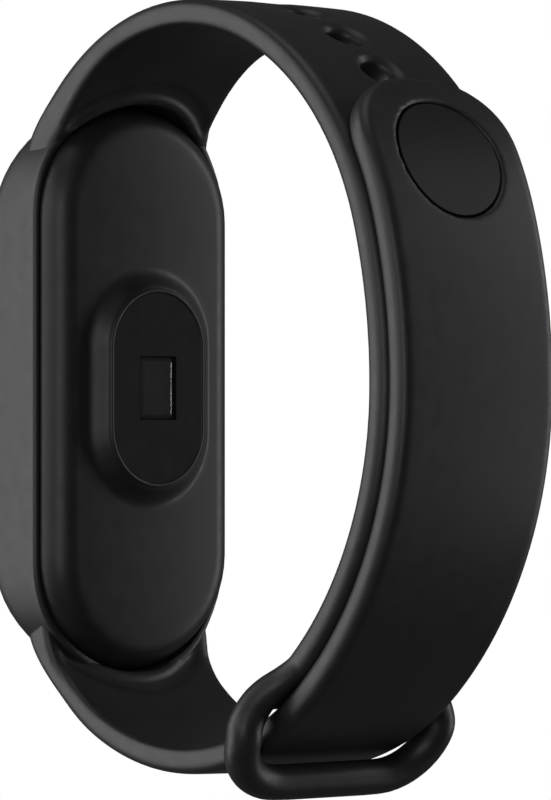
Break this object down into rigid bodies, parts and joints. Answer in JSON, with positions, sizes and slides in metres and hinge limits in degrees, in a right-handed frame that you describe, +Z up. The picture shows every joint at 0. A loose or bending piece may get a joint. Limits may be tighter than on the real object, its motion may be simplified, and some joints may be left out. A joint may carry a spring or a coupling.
{
  "type": "fitness tracker band",
  "caption": "Closed wristband with a keeper loop and button clasp that holds a pill-shaped tracker capsule with an optical sensor on its back.",
  "frame": {"origin": "middle of the wrist opening, halfway across the strap's width and on the middle height of the closed ring", "axes": "+X from the tracker capsule across the wrist to the clasp, +Y across the strap's width and along the wrist, +Z up towards the top of the closed ring"},
  "size_m": [0.05, 0.0232, 0.0628],
  "materials": {
    "strap_rubber": "soft matt moulded TPU, very fine even grain",
    "button_coat": "satin black coat on metal",
    "steel": "plain turned steel",
    "shell_plastic": "fine spark-eroded matt moulding",
    "cover_glass": "black-backed polished glass",
    "window_plastic": "polished dark window",
    "clear_lens": "polished tinted clear",
    "gasket_foam": "thin black foam tape",
    "film": "clear film with faint traces",
    "display": "unlit panel",
    "flex_film": "amber flexible circuit",
    "frame_plastic": "moulded frame, fine grain",
    "battery_foil": "crinkled pouch foil",
    "tape": "double-sided tape",
    "board_green": "solder resist",
    "chip_black": "moulded package",
    "can_tin": "tin-plated pressed sheet",
    "copper_gold": "gold-plated contact",
    "led_lens": "milky encapsulant",
    "diode": "dark silicon under clear cover",
    "barrier_plastic": "opaque moulding",
    "lead_sleeve": "insulated lead",
    "tungsten": "sintered weight"
  },
  "bodies": {
    "strap": {"strap_cradle": "strap_rubber", "strap_hole_arm": "strap_rubber", "strap_keeper_loop": "strap_rubber", "strap_pin_arm": "strap_rubber"},
    "clasp_tip": {"strap_tip": "strap_rubber", "button_cap": "button_coat", "button_stud": "steel"},
    "capsule": {"housing": "shell_plastic", "front_lens": "cover_glass", "lens_gasket": "gasket_foam", "sensor_window": "window_plastic", "aperture_lens": "clear_lens", "touch_film": "film", "display_panel": "display", "display_flex": "flex_film", "inner_frame": "frame_plastic", "battery_cell": "battery_foil", "battery_tape": "tape", "protection_board": "board_green", "battery_leads": "lead_sleeve", "main_board": "board_green", "main_chip": "chip_black", "small_chips": "chip_black", "shield_can": "can_tin", "sensor_board": "board_green", "sensor_connector": "frame_plastic", "leds": "led_lens", "photodiode": "diode", "light_barrier": "barrier_plastic", "motor_can": "can_tin", "motor_leads": "lead_sleeve", "antenna_strip": "flex_film", "charging_pins": "copper_gold", "contact_springs": "copper_gold"},
    "rotor": {"motor_shaft": "steel", "motor_weight": "tungsten"}
  },
  "joints": [
    {"name": "clasp_peel", "type": "hinge", "parent": "strap", "child": "clasp_tip", "pos_m": [0.02232, 0, -0.00116], "axis": [0, 1, 0], "range_deg": [0, 45], "stiffness_Nm_per_rad": 0.01},
    {"name": "capsule_release", "type": "slide", "parent": "strap", "child": "capsule", "axis": [-1, 0, 0], "range_m": [0, 0.013]},
    {"name": "motor_spin", "type": "hinge", "parent": "capsule", "child": "rotor", "pos_m": [-0.0231, 0, -0.0122], "axis": [0, 1, 0], "continuous": true}
  ]
}
